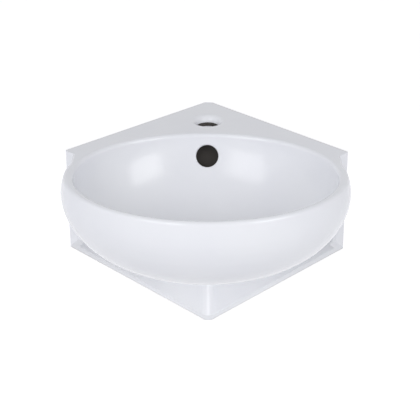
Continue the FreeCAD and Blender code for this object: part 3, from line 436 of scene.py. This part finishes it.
BOLT_RADIUS = 0.005
BOLT_PITCH = 0.0015
BOLT_REACH = 0.031
BOLT_TURNS = 22
BOLT_THREAD_DEPTH = 0.0009
GROOVE_PROUD = 0.1
GROOVE_FLANK = 0.46
GROOVE_ROOT = 0.18
GROOVE_SIDES = 40


def screw_groove(tree, sizes):
    """A V groove swept along a helix about Z, its open side proud of the crests."""
    height = add(tree, "ShaderNodeMath", {0: sizes["Pitch"], 1: sizes["Turns"]}, operation="MULTIPLY")
    path = add(tree, "GeometryNodeCurveSpiral", {
        "Resolution": GROOVE_SIDES, "Rotations": sizes["Turns"], "Start Radius": sizes["Radius"],
        "End Radius": sizes["Radius"], "Height": height.outputs[0], "Reverse": True})
    level = add(tree, "GeometryNodeSetCurveNormal", {"Curve": path.outputs[0]}, mode="Z_UP")
    deep = add(tree, "ShaderNodeMath", {0: sizes["Depth"], 1: -1.0}, operation="MULTIPLY")
    proud = add(tree, "ShaderNodeMath", {0: sizes["Depth"], 1: GROOVE_PROUD}, operation="MULTIPLY")
    flank = add(tree, "ShaderNodeMath", {0: sizes["Pitch"], 1: GROOVE_FLANK}, operation="MULTIPLY")
    other = add(tree, "ShaderNodeMath", {0: flank.outputs[0], 1: -1.0}, operation="MULTIPLY")
    root = add(tree, "ShaderNodeMath", {0: flank.outputs[0], 1: GROOVE_ROOT}, operation="MULTIPLY")
    root_low = add(tree, "ShaderNodeMath", {0: root.outputs[0], 1: -1.0}, operation="MULTIPLY")
    corners = [
        add(tree, "ShaderNodeCombineXYZ", {"X": out.outputs[0], "Y": along.outputs[0]}).outputs[0]
        for out, along in ((proud, flank), (deep, root), (deep, root_low), (proud, other))]
    section = add(tree, "GeometryNodeCurvePrimitiveQuadrilateral", {
        f"Point {k + 1}": corner for k, corner in enumerate(corners)}, mode="POINTS")
    swept = add(tree, "GeometryNodeCurveToMesh", {
        "Curve": level.outputs[0], "Profile Curve": section.outputs[0], "Fill Caps": True})
    shift = add(tree, "ShaderNodeCombineXYZ", {"Z": sizes["Start"]})
    return add(tree, "GeometryNodeTransform", {
        "Geometry": swept.outputs[0], "Translation": shift.outputs[0]}).outputs[0]


# zinc plated steel: a bluish silver, cloudy where the passivation dried, dull along its crystals, drawn at
# 0.4 mm so that they show
zinc, tree, shader = new_material("zinc_plated_steel")
place = add(tree, "ShaderNodeTexCoord").outputs["Object"]
cloud = add(tree, "ShaderNodeTexNoise", {"Vector": place, "Scale": 1 / 0.006, "Detail": 4.0})
tint = add(tree, "ShaderNodeValToRGB", {"Fac": cloud.outputs[0]})
tint.color_ramp.elements[0].position, tint.color_ramp.elements[1].position = 0.3, 0.7
tint.color_ramp.elements[0].color = linear("#AEB4BB")
tint.color_ramp.elements[1].color = linear("#C6CACE")
tree.links.new(tint.outputs[0], shader.inputs["Base Color"])
dull = add(tree, "ShaderNodeMapRange", {"Value": cloud.outputs[0], "To Min": 0.26, "To Max": 0.44})
tree.links.new(dull.outputs[0], shader.inputs["Roughness"])
crystals = add(tree, "ShaderNodeTexNoise", {"Vector": place, "Scale": 1 / 0.0004, "Detail": 2.0})
relief = add(tree, "ShaderNodeBump", {"Height": crystals.outputs[0], "Strength": 0.2, "Distance": 0.00003})
tree.links.new(relief.outputs[0], shader.inputs["Normal"])
shader.inputs["Metallic"].default_value = 1.0

screw_thread = shape_tree(
    "screw_thread", ("Radius", "Pitch", "Turns", "Depth", "Start"), zinc, screw_groove)
for side_name, side in WALL_SIDES.items():
    piece = welded_copy(f"hanger_bolt_{side_name}", f"hanger_bolt_{side_name}_threaded")
    cutter = grown("bolt_thread_cutter", screw_thread, fixing_place(side), Radius=BOLT_RADIUS,
                   Pitch=BOLT_PITCH, Turns=BOLT_TURNS, Depth=BOLT_THREAD_DEPTH,
                   Start=BOLT_REACH - (BOLT_TURNS - 1) * BOLT_PITCH)
    cut(piece, cutter, zinc)
    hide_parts(f"hanger_bolt_{side_name}")
    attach(piece, "basin")
    for node in (f"washer_{side_name}", f"nut_{side_name}"):
        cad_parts[node].material_slots[0].material = zinc

# ------------------------------------------------------------------ the sleeves and covers
# A flanged sleeve of white polypropylene in each wing keeps the bolt off the china.
# A domed cover of the same plastic clips over each nut.

# moulded polypropylene: clean white, a soft gloss, with faint flow clouds and a mould grain, drawn at
# 0.5 mm so that it shows
polypropylene, tree, shader = new_material("moulded_polypropylene")
place = add(tree, "ShaderNodeTexCoord").outputs["Object"]
flow = add(tree, "ShaderNodeTexNoise", {"Vector": place, "Scale": 1 / 0.018, "Detail": 2.0})
tint = add(tree, "ShaderNodeValToRGB", {"Fac": flow.outputs[0]})
tint.color_ramp.elements[0].position, tint.color_ramp.elements[1].position = 0.35, 0.65
tint.color_ramp.elements[0].color = linear("#E6E6E4")
tint.color_ramp.elements[1].color = linear("#EDEDEB")
tree.links.new(tint.outputs[0], shader.inputs["Base Color"])
grain = add(tree, "ShaderNodeTexNoise", {"Vector": place, "Scale": 1 / 0.0005, "Detail": 2.0})
relief = add(tree, "ShaderNodeBump", {"Height": grain.outputs[0], "Strength": 0.25, "Distance": 0.00004})
tree.links.new(relief.outputs[0], shader.inputs["Normal"])
shader.inputs["Roughness"].default_value = 0.36
shader.inputs["IOR"].default_value = 1.49
for node in ("sleeve_left", "sleeve_right", "cover_cap_left", "cover_cap_right"):
    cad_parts[node].material_slots[0].material = polypropylene

# ------------------------------------------------------------------ the waste
# A flanged brass tube, turned, threaded G 1 1/4 and chromed, pushed down through the outlet.
# Overflow water enters through slots in its wall, and the trap screws onto its end.

WASTE_BACK = 0.275
TAIL_RADIUS = 0.020955
TAIL_PITCH = 0.002309
TAIL_END = -0.179
TAIL_TURNS = 23
TAIL_THREAD_DEPTH = 0.00125

# chromed brass: a clear mirror, with the faint haze of wiping and a trace of the polishing under it, drawn
# at 1.5 mm so that it shows
chrome, tree, shader = new_material("chromed_brass")
place = add(tree, "ShaderNodeTexCoord").outputs["Object"]
haze = add(tree, "ShaderNodeTexNoise", {"Vector": place, "Scale": 1 / 0.010, "Detail": 3.0})
film = add(tree, "ShaderNodeMapRange", {"Value": haze.outputs[0], "To Min": 0.05, "To Max": 0.14})
tree.links.new(film.outputs[0], shader.inputs["Roughness"])
tint = add(tree, "ShaderNodeValToRGB", {"Fac": haze.outputs[0]})
tint.color_ramp.elements[0].color = linear("#CDD0D3")
tint.color_ramp.elements[1].color = linear("#D9DBDD")
tree.links.new(tint.outputs[0], shader.inputs["Base Color"])
polish = add(tree, "ShaderNodeTexNoise", {"Vector": place, "Scale": 1 / 0.0015, "Detail": 2.0})
relief = add(tree, "ShaderNodeBump", {"Height": polish.outputs[0], "Strength": 0.05, "Distance": 0.00002})
tree.links.new(relief.outputs[0], shader.inputs["Normal"])
shader.inputs["Metallic"].default_value = 1.0

waste = welded_copy("waste_body", "waste_body_threaded")
waste_place = Matrix.Translation((0, -WASTE_BACK, 0))
tail_cutter = grown("tail_thread_cutter", screw_thread, waste_place, Radius=TAIL_RADIUS, Pitch=TAIL_PITCH,
                    Turns=TAIL_TURNS, Depth=TAIL_THREAD_DEPTH, Start=TAIL_END - TAIL_PITCH)
cut(waste, tail_cutter, chrome)
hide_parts("waste_body")
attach(waste, "basin")

# ------------------------------------------------------------------ the waste's seals, washer and nut
# A rubber ring under the flange and another under the china keep the water in.
# A slippery washer lets the turned brass nut pull up tight without dragging the rubber round.

# moulded rubber: charcoal, almost matt, with a bloom that lightens it in patches, and a grain drawn at
# 0.4 mm so that it shows
rubber, tree, shader = new_material("moulded_rubber")
place = add(tree, "ShaderNodeTexCoord").outputs["Object"]
bloom = add(tree, "ShaderNodeTexNoise", {"Vector": place, "Scale": 1 / 0.008, "Detail": 4.0})
tint = add(tree, "ShaderNodeValToRGB", {"Fac": bloom.outputs[0]})
tint.color_ramp.elements[0].position, tint.color_ramp.elements[1].position = 0.35, 0.75
tint.color_ramp.elements[0].color = linear("#1E1F20")
tint.color_ramp.elements[1].color = linear("#333435")
tree.links.new(tint.outputs[0], shader.inputs["Base Color"])
grain = add(tree, "ShaderNodeTexNoise", {"Vector": place, "Scale": 1 / 0.0004, "Detail": 2.0})
relief = add(tree, "ShaderNodeBump", {"Height": grain.outputs[0], "Strength": 0.3, "Distance": 0.00004})
tree.links.new(relief.outputs[0], shader.inputs["Normal"])
shader.inputs["Roughness"].default_value = 0.62
for node in ("waste_top_seal", "waste_lower_seal", "plug_seal"):
    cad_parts[node].material_slots[0].material = rubber

# stamped polyethylene sheet: milky, greasy to the eye, with faint rolling lines, drawn 0.8 mm apart so
# that they show
polyethylene, tree, shader = new_material("stamped_polyethylene")
place = add(tree, "ShaderNodeTexCoord").outputs["Object"]
stretch = add(tree, "ShaderNodeMapping", {"Vector": place, "Scale": (1 / 0.0008, 1 / 0.02, 1 / 0.02)})
lines = add(tree, "ShaderNodeTexNoise", {"Vector": stretch.outputs[0], "Scale": 1.0, "Detail": 2.0})
tint = add(tree, "ShaderNodeValToRGB", {"Fac": lines.outputs[0]})
tint.color_ramp.elements[0].color = linear("#D2D4CF")
tint.color_ramp.elements[1].color = linear("#E2E3DF")
tree.links.new(tint.outputs[0], shader.inputs["Base Color"])
relief = add(tree, "ShaderNodeBump", {"Height": lines.outputs[0], "Strength": 0.2, "Distance": 0.00003})
tree.links.new(relief.outputs[0], shader.inputs["Normal"])
shader.inputs["Roughness"].default_value = 0.42
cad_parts["waste_slip_washer"].material_slots[0].material = polyethylene

# turned brass: warm yellow metal, with brown tarnish in patches and the lathe's rings round its axis, drawn
# 0.5 mm apart so that they show
brass, tree, shader = new_material("turned_brass")
place = add(tree, "ShaderNodeTexCoord").outputs["Object"]
centred = add(tree, "ShaderNodeMapping", {"Vector": place, "Location": (0, WASTE_BACK, 0)})
parts = add(tree, "ShaderNodeSeparateXYZ", {"Vector": centred.outputs[0]})
flat = add(tree, "ShaderNodeCombineXYZ", {"X": parts.outputs["X"], "Y": parts.outputs["Y"]})
radius = add(tree, "ShaderNodeVectorMath", {0: flat.outputs[0]}, operation="LENGTH")
lathe = add(tree, "ShaderNodeCombineXYZ", {"X": radius.outputs["Value"], "Z": parts.outputs["Z"]})
rings = add(tree, "ShaderNodeTexNoise", {"Vector": lathe.outputs[0], "Scale": 1 / 0.0005, "Detail": 2.0})
tarnish = add(tree, "ShaderNodeTexNoise", {"Vector": place, "Scale": 1 / 0.009, "Detail": 4.0})
tint = add(tree, "ShaderNodeValToRGB", {"Fac": tarnish.outputs[0]})
tint.color_ramp.elements[0].position, tint.color_ramp.elements[1].position = 0.3, 0.7
tint.color_ramp.elements[0].color = linear("#A98649")
tint.color_ramp.elements[1].color = linear("#C8A661")
tree.links.new(tint.outputs[0], shader.inputs["Base Color"])
dull = add(tree, "ShaderNodeMapRange", {"Value": tarnish.outputs[0], "To Min": 0.38, "To Max": 0.22})
tree.links.new(dull.outputs[0], shader.inputs["Roughness"])
relief = add(tree, "ShaderNodeBump", {"Height": rings.outputs[0], "Strength": 0.3, "Distance": 0.00003})
tree.links.new(relief.outputs[0], shader.inputs["Normal"])
shader.inputs["Metallic"].default_value = 1.0
for node in ("waste_back_nut", "plug_stem"):
    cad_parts[node].material_slots[0].material = brass

# ------------------------------------------------------------------ the latch cartridge
# A barrel of acetal screwed into the waste's hub, closed by a base of the same plastic.
# In it a ring turns with its steel ball as the plug is pressed, held up by a snap ring.

# moulded acetal: a dense milky white plastic, smooth, with a slight silkiness drawn at 0.5 mm so that it
# shows
acetal, tree, shader = new_material("moulded_acetal")
place = add(tree, "ShaderNodeTexCoord").outputs["Object"]
flow = add(tree, "ShaderNodeTexNoise", {"Vector": place, "Scale": 1 / 0.007, "Detail": 2.0})
tint = add(tree, "ShaderNodeValToRGB", {"Fac": flow.outputs[0]})
tint.color_ramp.elements[0].color = linear("#DCDAD2")
tint.color_ramp.elements[1].color = linear("#E9E7E0")
tree.links.new(tint.outputs[0], shader.inputs["Base Color"])
silk = add(tree, "ShaderNodeTexNoise", {"Vector": place, "Scale": 1 / 0.0005, "Detail": 2.0})
relief = add(tree, "ShaderNodeBump", {"Height": silk.outputs[0], "Strength": 0.15, "Distance": 0.00003})
tree.links.new(relief.outputs[0], shader.inputs["Normal"])
shader.inputs["Roughness"].default_value = 0.33
shader.inputs["IOR"].default_value = 1.48
for node in ("cartridge_housing", "latch_ring", "cartridge_base"):
    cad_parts[node].material_slots[0].material = acetal

# ground bearing steel: a near mirror, with the faint lapping haze of a new ball, drawn at 0.8 mm so that
# it shows
bearing_steel, tree, shader = new_material("ground_bearing_steel")
place = add(tree, "ShaderNodeTexCoord").outputs["Object"]
lapping = add(tree, "ShaderNodeTexNoise", {"Vector": place, "Scale": 1 / 0.0008, "Detail": 3.0})
film = add(tree, "ShaderNodeMapRange", {"Value": lapping.outputs[0], "To Min": 0.06, "To Max": 0.15})
tree.links.new(film.outputs[0], shader.inputs["Roughness"])
tint = add(tree, "ShaderNodeValToRGB", {"Fac": lapping.outputs[0]})
tint.color_ramp.elements[0].color = linear("#BEC1C4")
tint.color_ramp.elements[1].color = linear("#CBCDCF")
tree.links.new(tint.outputs[0], shader.inputs["Base Color"])
shader.inputs["Metallic"].default_value = 1.0
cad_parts["latch_ball"].material_slots[0].material = bearing_steel

# ------------------------------------------------------------------ the plug's spring
# Stainless wire, 1 mm thick, coiled cold on a mandrel with a closed turn at each end.
# It stands between the cartridge's base and the stem's collar and lifts the plug.

SPRING_FOOT = -0.16396
SPRING_HEAD = -0.14364
SPRING_RADIUS = 0.0056
SPRING_WIRE = 0.00098
SPRING_TURNS = 7.0
CLOSED_TURNS = 0.9
WIRE_SIDES = 12
COIL_SIDES = 36

# drawn stainless wire: grey metal with the die's long scratches, drawn 0.2 mm apart so that they show, and
# a little dull from coiling
wire_steel, tree, shader = new_material("drawn_stainless_wire")
place = add(tree, "ShaderNodeTexCoord").outputs["Object"]
squeezed = add(tree, "ShaderNodeMapping", {"Vector": place, "Scale": (1 / 0.004, 1 / 0.004, 1 / 0.0002)})
scratches = add(tree, "ShaderNodeTexNoise", {"Vector": squeezed.outputs[0], "Scale": 1.0, "Detail": 3.0})
dull = add(tree, "ShaderNodeMapRange", {"Value": scratches.outputs[0], "To Min": 0.18, "To Max": 0.36})
tree.links.new(dull.outputs[0], shader.inputs["Roughness"])
tint = add(tree, "ShaderNodeValToRGB", {"Fac": scratches.outputs[0]})
tint.color_ramp.elements[0].color = linear("#9A9DA1")
tint.color_ramp.elements[1].color = linear("#B4B7BA")
tree.links.new(tint.outputs[0], shader.inputs["Base Color"])
shader.inputs["Metallic"].default_value = 1.0
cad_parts["retaining_ring"].material_slots[0].material = wire_steel


def coil(tree, sizes):
    """Round wire on a helix that lies closed at both ends and opens between them."""
    path = add(tree, "GeometryNodeCurveSpiral", {
        "Resolution": COIL_SIDES, "Rotations": sizes["Turns"], "Start Radius": sizes["Radius"],
        "End Radius": sizes["Radius"], "Height": 0.0, "Reverse": True})
    along = add(tree, "GeometryNodeSplineParameter")
    turned = add(tree, "ShaderNodeMath", {0: along.outputs["Factor"], 1: sizes["Turns"]},
                 operation="MULTIPLY")
    opened = add(tree, "ShaderNodeMath", {0: sizes["Turns"], 1: sizes["Closed"]}, operation="SUBTRACT")
    free = add(tree, "ShaderNodeMapRange", {
        "Value": turned.outputs[0], "From Min": sizes["Closed"], "From Max": opened.outputs[0]},
        interpolation_type="SMOOTHSTEP")
    closed_turns = add(tree, "ShaderNodeMath", {0: sizes["Closed"], 1: 2.0}, operation="MULTIPLY")
    dead = add(tree, "ShaderNodeMath", {0: closed_turns.outputs[0], 1: sizes["Wire"]}, operation="MULTIPLY")
    rise = add(tree, "ShaderNodeMath", {0: sizes["Rise"], 1: dead.outputs[0]}, operation="SUBTRACT")
    live = add(tree, "ShaderNodeMath", {0: free.outputs[0], 1: rise.outputs[0]}, operation="MULTIPLY")
    open_turns = add(tree, "ShaderNodeMath", {0: sizes["Turns"], 1: closed_turns.outputs[0]},
                     operation="SUBTRACT")
    passed = add(tree, "ShaderNodeMath", {0: free.outputs[0], 1: open_turns.outputs[0]}, operation="MULTIPLY")
    rest = add(tree, "ShaderNodeMath", {0: turned.outputs[0], 1: passed.outputs[0]}, operation="SUBTRACT")
    level = add(tree, "ShaderNodeMath", {0: rest.outputs[0], 1: sizes["Wire"], 2: live.outputs[0]},
                operation="MULTIPLY_ADD")
    lift = add(tree, "ShaderNodeCombineXYZ", {"Z": level.outputs[0]})
    helix = add(tree, "GeometryNodeSetPosition", {"Geometry": path.outputs[0], "Offset": lift.outputs[0]})
    half = add(tree, "ShaderNodeMath", {0: sizes["Wire"], 1: 0.49}, operation="MULTIPLY")
    section = add(tree, "GeometryNodeCurvePrimitiveCircle", {
        "Resolution": WIRE_SIDES, "Radius": half.outputs[0]})
    return add(tree, "GeometryNodeCurveToMesh", {
        "Curve": helix.outputs[0], "Profile Curve": section.outputs[0], "Fill Caps": True}).outputs[0]


coil_tree = shape_tree(
    "closed_end_coil", ("Radius", "Wire", "Turns", "Closed", "Rise"), wire_steel, coil)
spring_place = Matrix.Translation((0, -WASTE_BACK, SPRING_FOOT + SPRING_WIRE / 2))
spring = grown("plug_spring_coil", coil_tree, spring_place, Radius=SPRING_RADIUS, Wire=SPRING_WIRE,
               Turns=SPRING_TURNS, Closed=CLOSED_TURNS, Rise=SPRING_HEAD - SPRING_FOOT - SPRING_WIRE)
for face in spring.data.polygons:
    face.use_smooth = True
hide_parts("plug_spring")
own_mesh(spring)
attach(spring, "basin")

# ------------------------------------------------------------------ the plug
# A chromed brass cap with a low crown, which stands a finger's breadth over the outlet when open.
# The stem's spigot is pressed into it, with the rubber disc between them.

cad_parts["plug_cap"].material_slots[0].material = chrome
